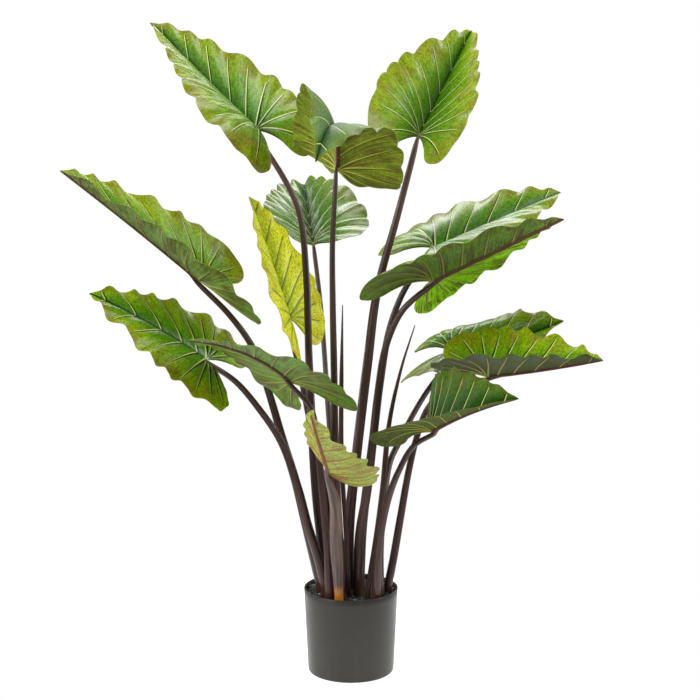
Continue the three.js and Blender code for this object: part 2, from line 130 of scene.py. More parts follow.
LEAVES = {
    "01": dict(at=(-147, 30, 864), tip=(-325, 196, 1025), roll=-16, width=170, lobe=64,
               arch=-2, twist=-12, droop=52, wave=4.5, fold=(27, 62),
               ease=(0.21, 0.63), foot=(-38, 16), radii=(8.5, 6, 4),
               route=((-49, 17, 227), (-57, 18, 309), (-66, 21, 498), (-70, 24, 638), (-80, 26, 734),
                      (-99, 28, 780))),
    "02": dict(at=(105, 50, 852), tip=(199, 258, 1011), roll=34, width=216, lobe=76,
               arch=-13, twist=-10, droop=20, wave=5, fold=(58, 45),
               ease=(-0.05, 0.35), foot=(-4, 18), radii=(8.5, 7.5, 4.5),
               route=((-2, 22, 242), (10, 26, 359), (27, 32, 502), (41, 37, 609), (73, 43, 731))),
    "03": dict(at=(-20, -60, 811), tip=(-49, -310, 845), roll=-7, width=195, lobe=88,
               arch=100, twist=-8, droop=-65, wave=4, fold=(60, 10),
               ease=(0.4, 0.4), foot=(-17, -38), radii=(8.5, 5.5, 3.6),
               route=((-18, -38, 200), (-21, -39, 260), (-25, -42, 361), (-26, -47, 486),
                      (-28, -53, 611), (-28, -57, 703))),
    "04": dict(at=(-233, -38, 639), tip=(-419, -191, 822), roll=-40, width=211, lobe=88,
               arch=3, twist=17, droop=-4, wave=4.5, fold=(25, 23),
               ease=(0.39, -0.58), foot=(-48, -3), radii=(8.5, 6.5, 4),
               route=((-73, -5, 251), (-88, -8, 317), (-107, -14, 383), (-128, -20, 460),
                      (-151, -27, 530), (-186, -33, 583))),
    "05": dict(at=(-222, -62, 520), tip=(-393, -109, 630), roll=-18, width=166, lobe=64,
               arch=12, twist=0, droop=17, wave=4.5, fold=(32, -17),
               ease=(0.33, -0.1), foot=(-40, -24), radii=(8, 6, 4),
               route=((-50, -26, 187), (-68, -29, 248), (-84, -33, 313), (-110, -38, 387),
                      (-142, -40, 437), (-179, -42, 482))),
    "06": dict(at=(-91, -112, 495), tip=(-236, -241, 582), roll=-8, width=180, lobe=87,
               arch=30, twist=-6, droop=3, wave=3.5, fold=(-23, 24),
               ease=(0.62, 0.28), foot=(-34, -44), radii=(7.5, 5.5, 3.8),
               route=((-36, -46, 205), (-41, -47, 264), (-47, -50, 332), (-53, -63, 405),
                      (-63, -90, 453))),
    "07": dict(at=(-98, 38, 569), tip=(-159, 36, 760), roll=-14, width=171, lobe=64,
               arch=2, twist=-10, droop=0, wave=2.5, fold=(19, 11),
               ease=(-0.3, 0.24), foot=(-20, 32), radii=(7.5, 5.5, 3.8),
               route=((-31, 36, 205), (-46, 40, 304), (-66, 44, 400), (-83, 48, 486))),
    "08": dict(at=(-61, 160, 667), tip=(-81, 410, 741), roll=-11, width=197, lobe=77,
               arch=6, twist=-12, droop=-14, wave=4.5, fold=(52, 60),
               ease=(0.64, 0.18), foot=(-14, -6), radii=(7.5, 4.5, 3.6),
               route=((-20, 10, 196), (-28, 38, 272), (-33, 70, 364), (-38, 92, 426),
                      (-44, 120, 508), (-50, 141, 578))),
    "09": dict(at=(131, 60, 676), tip=(349, 235, 746), roll=2, width=175, lobe=63,
               arch=2, twist=20, droop=16, wave=4, fold=(21, 33),
               ease=(0.78, 0.87), foot=(14, 6), radii=(8, 6.5, 4),
               route=((18, 12, 229), (27, 20, 309), (37, 28, 389), (47, 37, 468), (62, 46, 552),
                      (83, 53, 607), (107, 58, 643))),
    "10": dict(at=(126, -30, 636), tip=(310, -177, 750), roll=-10, width=189, lobe=89,
               arch=-1, twist=11, droop=29, wave=3.5, fold=(43, 10),
               ease=(0.79, 0.72), foot=(11, -18), radii=(8, 6.5, 4.2),
               route=((14, -20, 230), (25, -25, 300), (34, -29, 381), (42, -32, 461), (54, -35, 536),
                      (77, -37, 589), (101, -37, 614))),
    "11": dict(at=(171, 150, 492), tip=(341, 76, 557), roll=24, width=162, lobe=82,
               arch=-19, twist=17, droop=40, wave=3.5, fold=(14, 71),
               ease=(0.26, 1.17), foot=(46, -24), radii=(7, 5, 3.8),
               route=((46, -4, 199), (52, 24, 267), (63, 56, 330), (81, 80, 362), (98, 100, 392),
                      (124, 125, 430))),
    "12": dict(at=(214, 5, 480), tip=(389, -47, 516), roll=7, width=172, lobe=74,
               arch=-5, twist=5, droop=2, wave=4, fold=(45, 44),
               ease=(0.14, -0.02), foot=(59, -6), radii=(7, 5.5, 3.8),
               route=((67, -3, 183), (79, 1, 255), (92, 4, 331), (105, 6, 386), (122, 8, 430),
                      (159, 8, 466))),
    "13": dict(at=(124, -101, 416), tip=(236, -315, 513), roll=60, width=178, lobe=70,
               arch=13, twist=23, droop=38, wave=3.5, fold=(83, 15),
               ease=(0.19, 0.08), foot=(40, -46), radii=(7.5, 5.5, 3.8),
               route=((41, -51, 189), (47, -58, 247), (58, -66, 301), (74, -79, 349), (96, -91, 391))),
    "14": dict(at=(-34, -150, 363), tip=(-57, -305, 487), roll=-54, width=144, lobe=76,
               arch=-2, twist=-20, droop=-22, wave=4, fold=(4, 30),
               ease=(0.35, -0.94), foot=(-19, -57), radii=(7, 9.5, 10.5, 8.5, 3.5),
               route=((-21, -63, 190), (-23, -76, 237), (-23, -91, 273), (-25, -112, 309))),
}

SPEARS = {
    "left": dict(foot=(-3, -22), radii=(4, 3.6, 4, 3.4, 0.8),
                 route=((-9, -22, 250), (-15, -21, 360), (-15, -20, 460), (-13, -20, 598))),
    "right": dict(foot=(26, -38), radii=(4.6, 4.2, 4.4, 3, 0.8),
                  route=((38, -27, 215), (50, -24, 308), (60, -24, 413), (78, -24, 498),
                         (99, -24, 567))),
}

# Leaf colours: deep beside the midrib, then fresh, sunny towards the edge, brown in the blotches.
# sheen is the strength of the shine, rusty how strong the brown streaks below are.
# The dark colour beside the veins and by the midrib is painted shade, where the raised veins and the
# midrib crease would shade the blade.
GREEN = dict(deep="#447a04", fresh="#628e04", sunny="#82980a", blotch="#76601a", vein="#e4ec9a",
             painted_shade="#081202", under="#46600f", under_blotch="#57301c", under_vein="#a9a552",
             rib="#5e2f26", roughness=0.3, sheen=0.4, rusty=0.8)
DARK = {**GREEN, "deep": "#2a560a", "fresh": "#426e10", "sunny": "#5f8018", "blotch": "#5f5820"}
DARK_SHINY = {**DARK, "roughness": 0.22}
DULL = {**DARK, "roughness": 0.5, "sheen": 0.26, "under_vein": "#c8cc56", "rusty": 0.7}
DULL_DARK = {**DULL, "deep": "#1e4406", "fresh": "#2f5c08", "sunny": "#4a6c0c", "sheen": 0.2,
             "under_blotch": "#553a12"}
LIME = {**GREEN, "deep": "#467c02", "fresh": "#669402", "sunny": "#8ca404", "blotch": "#80701a"}
BROWN_BELOW = {**LIME, "sheen": 0.25, "under_blotch": "#4c380c", "rusty": 0.7}
BRIGHT = {**LIME, "deep": "#4f8a04", "fresh": "#74a40a", "sunny": "#9cb40c"}
# A yellowing leaf, partly its own yellow and partly painted light: its colours pushed brighter for the
# glow of light through it, and its veins painted dark as painted shade, as veins look with light behind
# them
BACKLIT_YELLOW = {**GREEN, "deep": "#ccdc04", "fresh": "#e2e806", "sunny": "#e9ea08", "blotch": "#ccb418",
          "vein": "#5c6414", "painted_shade": "#a4ac18", "under": "#d8e020", "under_blotch": "#c4b420",
          "under_vein": "#66701a", "rib": "#7a6a20", "roughness": 0.42, "sheen": 0.2}
YOUNG = {**GREEN, "deep": "#7c9a30", "fresh": "#93ac40", "sunny": "#a4b450", "blotch": "#96803a",
         "vein": "#96402c", "painted_shade": "#7a5228", "under": "#a4ba48", "under_blotch": "#96603a",
         "under_vein": "#94502e", "rib": "#8a4c2c", "roughness": 0.42}
LOOKS = {
    "01": GREEN, "02": LIME, "03": DULL, "04": BRIGHT, "05": BRIGHT, "06": GREEN, "07": BACKLIT_YELLOW,
    "08": DARK_SHINY, "09": GREEN, "10": GREEN, "11": GREEN, "12": BROWN_BELOW, "13": DULL_DARK,
    "14": YOUNG,
}

# Undersides of a colour of their own: the right half, then the left one. The left half of 10 is a
# brighter lime as painted light, for the light from the floor that comes through it.
UNDERSIDES = {"03": ("#84982c", "#8a9a2c"), "04": ("#74923c", "#74923c"), "06": ("#6c9c1c", "#6c9c1c"),
              "10": ("#6e981e", "#a2e410"), "12": ("#3c560a", "#3c560a"), "13": ("#4c660e", "#4c660e")}

# How pale the listed stalks get below their blades, and how pale the others get
PALE_TOPS = {"01": 0.9, "02": 0.7, "13": 0.5}
PALE_TOP = 0.15


# Camera, floor and light
def make_camera():
    data = bpy.data.cameras.new("camera")
    data.lens = LENS
    camera = bpy.data.objects.new("camera", data)
    camera.location = CAMERA_PLACE
    camera.rotation_euler = (math.radians(CAMERA_TILT), 0, 0)
    bpy.context.scene.collection.objects.link(camera)
    bpy.context.scene.camera = camera


def make_floor():
    bpy.ops.object.select_all(action="DESELECT")
    bpy.ops.mesh.primitive_circle_add(vertices=96, radius=FLOOR_RADIUS, fill_type="NGON")
    floor = bpy.context.object
    floor.name = "floor"
    recipe = Recipe("floor paper")
    recipe.set("Base Color", (0.5, 0.5, 0.5, 1))
    recipe.set("Roughness", 0.9)
    recipe.set("Emission Color", (1, 1, 1, 1))
    recipe.set("Emission Strength", 0.87)
    floor.data.materials.append(recipe.material)


def soft_light(name, place, target, width, height, power):
    """A softbox at its place, turned to its target."""
    data = bpy.data.lights.new(name, "AREA")
    data.shape = "RECTANGLE"
    data.size = width
    data.size_y = height
    data.energy = power
    light = bpy.data.objects.new(name, data)
    light.location = place
    aim = Vector(target) - Vector(place)
    light.rotation_euler = aim.to_track_quat("-Z", "Y").to_euler()
    bpy.context.scene.collection.objects.link(light)


def make_light():
    """Pale world, bright where the camera sees it and dimmer as a light, and the softboxes."""
    world = bpy.data.worlds.new("studio")
    world.use_nodes = True
    tree = world.node_tree
    background = tree.nodes["Background"]
    background.inputs["Color"].default_value = (1, 1, 1, 1)
    seen = tree.nodes.new("ShaderNodeLightPath").outputs["Is Camera Ray"]
    strength = tree.nodes.new("ShaderNodeMapRange")
    strength.inputs["To Min"].default_value = 0.3
    strength.inputs["To Max"].default_value = 1.0
    tree.links.new(seen, strength.inputs["Value"])
    tree.links.new(strength.outputs[0], background.inputs["Strength"])
    bpy.context.scene.world = world
    bpy.context.scene.view_settings.view_transform = "Standard"
    for softbox in SOFTBOXES:
        soft_light(*softbox)


# Materials
class Value:
    """A shader socket that adds, subtracts, multiplies and divides."""

    def __init__(self, recipe, socket):
        self.recipe = recipe
        self.socket = socket

    def maths(self, operation, first, second):
        return self.recipe.node("ShaderNodeMath", {0: first, 1: second}, operation=operation)

    def __add__(self, other):
        return self.maths("ADD", self, other)

    __radd__ = __add__

    def __mul__(self, other):
        return self.maths("MULTIPLY", self, other)

    __rmul__ = __mul__

    def __sub__(self, other):
        return self.maths("SUBTRACT", self, other)

    def __rsub__(self, other):
        return self.maths("SUBTRACT", other, self)

    def __truediv__(self, other):
        return self.maths("DIVIDE", self, other)

    def __rtruediv__(self, other):
        return self.maths("DIVIDE", other, self)

    def __abs__(self):
        return self.recipe.node("ShaderNodeMath", {0: self}, operation="ABSOLUTE")


class Recipe:
    """A material, written as sums of its patterns."""

    def __init__(self, name):
        self.material = bpy.data.materials.new(name)
        self.material.use_nodes = True
        self.tree = self.material.node_tree
        self.shader = self.tree.nodes["Principled BSDF"]

    def node(self, kind, inputs, out=0, **settings):
        made = self.tree.nodes.new(kind)
        for setting, value in settings.items():
            setattr(made, setting, value)
        for socket, value in inputs.items():
            self.feed(made.inputs[socket], value)
        return Value(self, made.outputs[out])

    def feed(self, socket, value):
        if isinstance(value, Value):
            self.tree.links.new(value.socket, socket)
        else:
            socket.default_value = value

    def set(self, name, value):
        self.feed(self.shader.inputs[name], value)

    def place(self):
        return self.node("ShaderNodeTexCoord", {}, out="Object")

    def attribute(self, name, out="Fac"):
        return self.node("ShaderNodeAttribute", {}, out=out, attribute_name=name)

    def parts(self, vector):
        split = self.node("ShaderNodeSeparateXYZ", {0: vector}).socket.node
        return [Value(self, split.outputs[i]) for i in range(3)]

    def joined(self, x, y, z):
        return self.node("ShaderNodeCombineXYZ", {0: x, 1: y, 2: z})

    def noise(self, vector, scale, detail=2.0, roughness=0.5, distortion=0.0):
        return self.node("ShaderNodeTexNoise", {
            "Vector": vector, "Scale": scale, "Detail": detail, "Roughness": roughness,
            "Distortion": distortion})

    def fade(self, value, start, end, low=0.0, high=1.0):
        return self.node("ShaderNodeMapRange", {0: value, 1: start, 2: end, 3: low, 4: high},
                         interpolation_type="SMOOTHSTEP")

    def least(self, first, second):
        return self.node("ShaderNodeMath", {0: first, 1: second}, operation="MINIMUM")

    def mix(self, share, first, second, blend="MIX"):
        return self.node("ShaderNodeMix", {0: share, 6: first, 7: second}, out=2,
                         data_type="RGBA", blend_type=blend)

    def bump(self, height, distance, strength=1.0):
        normal = self.node("ShaderNodeBump", {"Height": height, "Distance": distance,
                                              "Strength": strength})
        self.set("Normal", normal)


def paint(code):
    """Colour of a six-figure code, as the shader counts it."""
    shares = [int(code[i:i + 2], 16) / 255 for i in (1, 3, 5)]
    linear = [s / 12.92 if s <= 0.04045 else ((s + 0.055) / 1.055) ** 2.4 for s in shares]
    return (*linear, 1.0)


def leaf_material(name, look, seed):
    """Blade: side veins with painted shade on one side of each, painted shade in the crease by the
    midrib, blotches at the edge, a duller face below.
    """
    recipe = Recipe(f"leaf {name}")
    along, across, _ = recipe.parts(recipe.node("ShaderNodeUVMap", {}, uv_map="blade"))
    gap = recipe.attribute("vein_gap")
    below = recipe.attribute("below")
    from_rib = recipe.attribute("from_rib")
    place = recipe.place()
    shifted = recipe.node("ShaderNodeVectorMath", {0: place, 1: (seed * 3.1, seed * 1.7, 0)},
                          operation="ADD")

    turn = recipe.node("ShaderNodeMath", {0: along}, operation="FRACT")
    from_vein = (turn - 0.5) * gap
    wobble = recipe.noise(shifted, 45, 2)
    width = recipe.least(1.5 - across, 0.2 * gap)
    ends = recipe.fade(across + 0.12 * wobble, 0.86, 0.97, 1.0, 0.0)
    vein = recipe.fade(abs(from_vein) / width, 0.55, 1.25, 1.0, 0.0) * ends
    # Painted shade: a dark strip on one side of each vein, where the raised vein would shade the blade
    beside = abs(from_vein / width + 2.1)
    painted_shade = recipe.fade(beside, 0.9, 1.7, 1.0, 0.0) * ends

    rays = recipe.noise(recipe.joined(along * 9, across * 1.4, seed * 2.3), 1.5, 4, 0.6)
    patches = recipe.noise(shifted, 22, 3, 0.6)
    freckles = recipe.noise(shifted, 330, 3, 0.7)
    warmth = recipe.noise(shifted, 34, 3, 0.55, 0.4)
    flecks = recipe.noise(recipe.joined(along * 12, across * 11, seed * 2.3), 1.0, 3, 0.65)

    fresh = recipe.fade(across + 0.5 * patches, 0.3, 0.85)
    sunny = recipe.fade(across + 0.9 * patches, 0.85, 1.45)
    rust = recipe.fade(0.4 * across + warmth + 0.8 * flecks, 1.17, 1.4)
    top = recipe.mix(fresh, paint(look["deep"]), paint(look["fresh"]))
    top = recipe.mix(sunny, top, paint(look["sunny"]))
    top = recipe.mix(0.6 * rust, top, paint(look["blotch"]))
    shade = recipe.fade(flecks + 0.7 * freckles, 0.58, 1.12, 0.5, 1.5)
    top = recipe.mix(1.0, top, recipe.joined(shade, shade, shade), "MULTIPLY")
    # Painted shade beside the veins
    top = recipe.mix(0.9 * painted_shade, top, paint(look["painted_shade"]))
    top = recipe.mix(vein, top, paint(look["vein"]))
    # Painted shade in the crease along the midrib, in the same dark shade colour
    crease = recipe.fade(from_rib + 0.6 * wobble, 1.3, 2.3, 1.0, 0.0)
    top = recipe.mix(0.9 * crease, top, paint(look["painted_shade"]))

    streaks = recipe.fade(rays + 0.5 * warmth + 0.6 * flecks, 1.0, 1.16)
    right, left = (paint(code) for code in UNDERSIDES.get(name, (look["under"], look["under"])))
    under = recipe.mix(recipe.fade(along, LEFT_HALF_UV - 1, LEFT_HALF_UV), right, left)
    under = recipe.mix(look["rusty"] * streaks, under, paint(look["under_blotch"]))
    under = recipe.mix(1.0, under, recipe.joined(shade, shade, shade), "MULTIPLY")
    # Below, the same one-sided strip in reddish brown: partly painted shade beside the raised veins,
    # partly the leaf's own reddish lines
    under = recipe.mix(0.6 * painted_shade, under, paint(look["under_blotch"]))
    under = recipe.mix(0.85 * vein, under, paint(look["under_vein"]))
    rib = recipe.fade(from_rib, 2.4, 3.8, 1.0, 0.0)
    under = recipe.mix(0.9 * rib, under, paint(look["rib"]))

    recipe.set("Base Color", recipe.mix(below, top, under))
    gloss = recipe.fade(freckles + 0.4 * patches, 0.5, 0.95, look["roughness"] - 0.06,
                        look["roughness"] + 0.1)
    recipe.set("Roughness", gloss + 0.25 * below)
    recipe.set("Specular IOR Level", look["sheen"])
    recipe.set("Subsurface Weight", 0.3)
    recipe.set("Subsurface Scale", 0.003)
    recipe.set("Subsurface Radius", (1.0, 1.0, 0.3))
    recipe.bump(0.5 * rays + 0.5 * freckles, 0.0005, 0.6)
    return recipe.material


def stalk_material(name, light_top=0.0, foot="#43241b", body="#4e3630"):
    """Stalk: dark, with fine streaks along it, lighter towards the blade."""
    recipe = Recipe(f"stalk {name}")
    grain = recipe.attribute("grain", "Vector")
    rise = recipe.attribute("rise")
    drawn = recipe.node("ShaderNodeVectorMath", {0: grain, 1: (1.0, 1.0, 0.035)},
                        operation="MULTIPLY")
    streaks = recipe.noise(drawn, 900, 3, 0.6)
    bands = recipe.noise(drawn, 260, 2, 0.5)
    spots = recipe.noise(recipe.place(), 60, 3, 0.6)
    colour = recipe.mix(recipe.fade(bands, 0.35, 0.7), paint(body), paint("#241311"))
    colour = recipe.mix(recipe.fade(streaks, 0.55, 0.8, 0, 0.55), colour, paint("#6e4c3e"))
    colour = recipe.mix(recipe.fade(spots, 0.5, 0.8, 0, 0.35), colour, paint("#4a2018"))
    top = recipe.fade(rise, 0.7, 1.0, 0.0, light_top)
    colour = recipe.mix(top, colour, paint("#7a5a52"))
    height = recipe.parts(recipe.place())[2]
    bottom = recipe.fade(height + 0.02 * spots, 0.15, 0.172, 1.0, 0.0)
    colour = recipe.mix(bottom, colour, paint(foot))
    recipe.set("Base Color", colour)
    recipe.set("Roughness", recipe.fade(streaks, 0.3, 0.8, 0.3, 0.46))
    recipe.bump(streaks + 0.6 * bands, 0.0005, 0.6)
    return recipe.material


def pot_material():
    """Planter: dark grey satin plastic with a faint bloom and a few scuffs."""
    recipe = Recipe("planter plastic")
    place = recipe.place()
    cloud = recipe.noise(place, 14, 4, 0.6)
    drawn = recipe.node("ShaderNodeMapping", {0: place, 3: (1.0, 1.0, 0.05)})
    turned = recipe.noise(drawn, 110, 3, 0.5)
    grain = recipe.noise(place, 1400, 2, 0.6)
    marks = recipe.noise(place, 260, 4, 0.75)
    colour = recipe.mix(recipe.fade(cloud, 0.3, 0.7), paint("#1f1d16"), paint("#28251c"))
    colour = recipe.mix(recipe.fade(turned, 0.5, 0.75, 0, 0.35), colour, paint("#363226"))
    colour = recipe.mix(recipe.fade(marks, 0.7, 0.78, 0, 0.5), colour, paint("#7c7a72"))
    recipe.set("Base Color", colour)
    recipe.set("Roughness", recipe.fade(cloud + 0.3 * grain, 0.35, 0.95, 0.28, 0.4))
    recipe.bump(grain + 0.8 * turned, 0.00012, 0.5)
    return recipe.material


def soil_material():
    """Crumbs of bark and peat: nearly black, some grey-green, a few pale."""
    recipe = Recipe("soil")
    tone = recipe.attribute("tone")
    place = recipe.place()
    fine = recipe.noise(place, 900, 4, 0.7)
    colour = recipe.mix(recipe.fade(tone, 0.1, 0.6), paint("#353f36"), paint("#5c6a5e"))
    colour = recipe.mix(recipe.fade(tone, 0.72, 0.98), colour, paint("#aab6a8"))
    colour = recipe.mix(recipe.fade(fine, 0.4, 0.75, 0, 0.6), colour, paint("#111411"))
    recipe.set("Base Color", colour)
    recipe.set("Roughness", recipe.fade(fine, 0.3, 0.7, 0.7, 0.95))
    recipe.bump(fine, 0.0006, 0.8)
    return recipe.material


# Lines and directions
def smooth_line(points):
    """Centripetal curve through the points, finely sampled, with the length run at each sample."""
    points = np.asarray(points, float)
    held = np.vstack([2 * points[0] - points[1], points, 2 * points[-1] - points[-2]])
    samples = []
    for i in range(1, len(held) - 2):
        p0, p1, p2, p3 = held[i - 1:i + 3]
        d0, d1, d2 = (math.sqrt(np.linalg.norm(b - a)) for a, b in ((p0, p1), (p1, p2), (p2, p3)))
        t1 = ((p1 - p0) / d0 - (p2 - p0) / (d0 + d1) + (p2 - p1) / d1) * d1
        t2 = ((p2 - p1) / d1 - (p3 - p1) / (d1 + d2) + (p3 - p2) / d2) * d1
        t = np.linspace(0, 1, SPAN_SAMPLES, endpoint=False)[:, None]
        samples.append(p1 + t1 * t + (3 * (p2 - p1) - 2 * t1 - t2) * t ** 2
                       + (2 * (p1 - p2) + t1 + t2) * t ** 3)
    samples = np.vstack([*samples, points[-1:]])
    run = np.concatenate([[0], np.cumsum(np.linalg.norm(np.diff(samples, axis=0), axis=1))])
    return samples, run


def along_line(line, shares):
    """Places on the line at shares of its length."""
    samples, run = line
    at = np.asarray(shares) * run[-1]
    return np.stack([np.interp(at, run, samples[:, k]) for k in range(samples.shape[1])], -1)


def turned(vectors, axes, angles):
    """Vectors square to their axes, turned about them."""
    angles = np.asarray(angles)[..., None]
    return vectors * np.cos(angles) + np.cross(axes, vectors) * np.sin(angles)


def blade_frame(leaf):
    """Where the blade starts and which way it goes, its length and its bend."""
    at = np.array(leaf["at"], float)
    chord = np.array(leaf["tip"], float) - at
    span = np.linalg.norm(chord)
    ahead = chord / span
    face = np.array([0, 0, 1.0]) - ahead * ahead[2]
    face = turned(face / np.linalg.norm(face), ahead, math.radians(leaf["roll"]))
    bend = math.radians(leaf["arch"]) or 1e-3
    return dict(at=at, ahead=ahead, face=face, right=np.cross(ahead, face), bend=bend,
                length=span * (bend / 2) / math.sin(bend / 2))


def midrib_at(leaf, own, y):
    """Place, face and right on the bent midrib line, for an array of distances from the stalk."""
    y = np.asarray(y, float)
    droop = math.radians(leaf["droop"]) or 1e-3
    curvature = np.where(y >= 0, own["bend"] / own["length"], droop / leaf["lobe"])
    start = own["bend"] / 2
    slope = start - curvature * y
    forward = (math.sin(start) - np.sin(slope)) / curvature
    rise = (np.cos(slope) - math.cos(start)) / curvature
    cos, sin = np.cos(slope)[..., None], np.sin(slope)[..., None]
    ahead = own["ahead"] * cos + own["face"] * sin
    face = own["face"] * cos - own["ahead"] * sin
    twist = math.radians(leaf["twist"]) * y / own["length"]
    right = turned(np.broadcast_to(own["right"], ahead.shape), ahead, twist)
    face = turned(face, ahead, twist)
    place = own["at"] + own["ahead"] * forward[..., None] + own["face"] * rise[..., None]
    return place, face, right


# Blades
def ripple(name, side, shares, lead=0.0):
    """Rise and fall of the edge: broad lobes with narrow notches, uneven along the leaf."""
    own = int(name) * 1.9 + (0 if side > 0 else 2.4)
    ends = np.clip(np.minimum(shares / 0.12, (1 - shares) / 0.08), 0, 1)
    t = np.clip((shares - 0.2) / 0.25, 0, 1)
    calm = 0.35 + 0.65 * t * t * (3 - 2 * t)
    uneven = 1 + 0.35 * np.sin(10.7 * shares + own)
    turn = 2 * math.pi * (WAVES * shares + WAVE_DRIFT * np.sin(13 * shares + own)) + own + lead
    return ends * calm * uneven * (np.cos(turn) - 0.2 * np.cos(2 * turn))


def blade_half(name, leaf, own, side, shares, bands):
    """Middle surface of one half: places, then distances from the midrib and between side veins."""
    corners = [(across * leaf["width"] / 2, along * (leaf["lobe"] if along < 0 else own["length"]))
               for across, along in OUTLINE]
    edge = along_line(smooth_line(corners), shares)
    past = np.maximum(0, (shares - FAN_SHARE) / (1 - FAN_SHARE))
    root = np.stack([np.zeros_like(past), own["length"] * past ** 1.6], -1)
    reach = edge - root
    size = np.linalg.norm(reach, axis=1)
    swell = ripple(name, side, shares)
    scallop = SCALLOP * leaf["wave"] * ripple(name, side, shares, math.pi / 2)
    reach = reach * (1 + scallop / np.maximum(size, 4 * leaf["wave"]))[:, None]
    q = bands[None, :]
    flat = root[:, None, :] + reach[:, None, :] * q[..., None]
    flat[..., 1] += VEIN_BOW * size[:, None] * q * (1 - q)
    place, face, right = midrib_at(leaf, own, flat[..., 1])
    across = np.abs(flat[..., 0])
    fold, ease = leaf["fold"][0 if side > 0 else 1], leaf["ease"][0 if side > 0 else 1]
    lift = math.radians(fold) * (1 - ease * across / (leaf["width"] / 2))
    between = np.abs(np.sin(math.pi * (VEINS * shares - 0.5)))[:, None]
    pleats = PLEAT_HEIGHT * between * np.sin(math.pi * q) * np.minimum(1, size[:, None] / 60)
    crease = RIB_CREASE * across * np.exp(-across / RIB_CREASE_REACH)
    height = across * np.sin(lift) + leaf["wave"] * swell[:, None] * q ** 3 + pleats + crease
    points = place + right * (side * across * np.cos(lift))[..., None] + face * height[..., None]
    step = np.gradient(points, shares, axis=0)
    gap = np.linalg.norm(step, axis=-1) / VEINS
    # Behind the stalk there is no midrib, so the lobes count as far from it
    behind_stalk = 1 - np.clip(flat[..., 1] / 6, 0, 1)
    return dict(points=points, from_rib=across + NO_RIB * behind_stalk, gap=gap,
                rib_share=1 - np.clip(flat[..., 1] / own["length"], 0, 1))


def vein_relief(share, q, gap, rib, rib_share):
    """How far the veins stand out above and below: side veins, and the round midrib below."""
    from_vein = abs(VEINS * share % 1 - 0.5) * gap
    width = max(1e-6, min(1.5 - q, 0.2 * gap))
    stands = math.exp(-(from_vein / width) ** 2) * min(1, max(0, (0.95 - q) / 0.2))
    rib_radius = 2.8 * rib_share ** 0.7 + 0.3
    round_rib = math.sqrt(max(0, 1 - (rib / rib_radius) ** 2)) * rib_radius
    return 0.3 * stands, max(0.55 * stands, 0.8 * round_rib)


def make_blade(name, leaf):
    """Blade: both halves as one sheet, with a wall round the edge, thick at the veins."""
    own = blade_frame(leaf)
    shares = np.array([(k + 0.5 + step) / VEINS for k in range(VEINS) for step in ROW_STEPS] + [1.0])
    bands = np.array(BAND_STEPS)
    rows, last = len(shares), len(bands) - 1
    halves = {side: blade_half(name, leaf, own, side, shares, bands) for side in (1, -1)}

    points, gaps, ribs, thickness, ridge = [], [], [], [], []
    shared = {}

    def corner(side, row, band):
        key = (side, row, band)
        if row == rows - 1:
            key = "tip"
        elif band == 0:
            key = "stalk" if shares[row] <= FAN_SHARE else row
        if key not in shared:
            half = halves[side]
            shared[key] = len(points)
            points.append(half["points"][row, band])
            gap, rib = half["gap"][row, band], half["from_rib"][row, band]
            gaps.append(gap)
            ribs.append(rib)
            q = bands[band]
            thin = 0.2 if key == "tip" else 1 - 0.5 * shares[row]
            thickness.append(EDGE_THICKNESS + (RIB_THICKNESS - EDGE_THICKNESS) * (1 - q) ** 3 * thin)
            ridge.append(vein_relief(shares[row], q, gap, rib, half["rib_share"][row, band]))
        return shared[key]

    faces, uses = [], []
    for side in (1, -1):
        for row in range(rows - 1):
            for band in range(last):
                spots = [(row, band), (row, band + 1), (row + 1, band + 1), (row + 1, band)]
                if side < 0:
                    spots.reverse()
                ring, uv = [], []
                for r, b in spots:
                    index = corner(side, r, b)
                    if index not in ring:
                        ring.append(index)
                        uv.append((VEINS * shares[r] + (0 if side > 0 else LEFT_HALF_UV), bands[b]))
                if len(ring) > 2:
                    faces.append(ring)
                    uses.append(uv)

    border = [corner(1, 0, b) for b in range(last)] + [corner(1, r, last) for r in range(rows - 1)]
    border += [corner(1, rows - 1, 0)] + [corner(-1, r, last) for r in range(rows - 2, -1, -1)]
    border += [corner(-1, 0, b) for b in range(last - 1, 0, -1)]

    middle = np.array(points)
    normals = corner_normals(middle, faces)
    half_wall = np.array(thickness)[:, None] / 2
    stands = np.array(ridge)
    upper = middle + normals * (half_wall + stands[:, :1])
    lower = middle - normals * (half_wall + stands[:, 1:])
    count = len(middle)
    edges_of = len(border)
    rim = [[border[(i + 1) % edges_of], border[i], border[i] + count,
            border[(i + 1) % edges_of] + count] for i in range(edges_of)]
    every_face = faces + [[i + count for i in reversed(ring)] for ring in faces] + rim
    mesh = bpy.data.meshes.new(f"blade_{name}")
    mesh.from_pydata(np.vstack([upper, lower]) * MM, [], every_face)
    spread = uses + [list(reversed(uv)) for uv in uses] + [[(0.25, 1.0)] * 4] * edges_of
    layer = mesh.uv_layers.new(name="blade")
    layer.data.foreach_set("uv", np.array([value for uv in spread for pair in uv for value in pair]))
    keep_number(mesh, "vein_gap", np.tile(gaps, 2))
    keep_number(mesh, "from_rib", np.tile(ribs, 2))
    keep_number(mesh, "below", np.repeat([0.0, 1.0], count))
    return finished(f"blade_{name}", mesh, 40)


def corner_normals(points, faces):
    """Direction square to the faces at each corner, larger faces counting for more."""
    normals = np.zeros_like(points)
    for size in (3, 4):
        rings = np.array([ring for ring in faces if len(ring) == size])
        if not len(rings):
            continue
        a, b = points[rings[:, 2]] - points[rings[:, 0]], points[rings[:, -1]] - points[rings[:, 1]]
        area = np.cross(a, b)
        for k in range(size):
            np.add.at(normals, rings[:, k], area)
    return normals / np.linalg.norm(normals, axis=1)[:, None]


def keep_number(mesh, name, values):
    mesh.attributes.new(name, "FLOAT", "POINT").data.foreach_set("value", np.asarray(values, float))


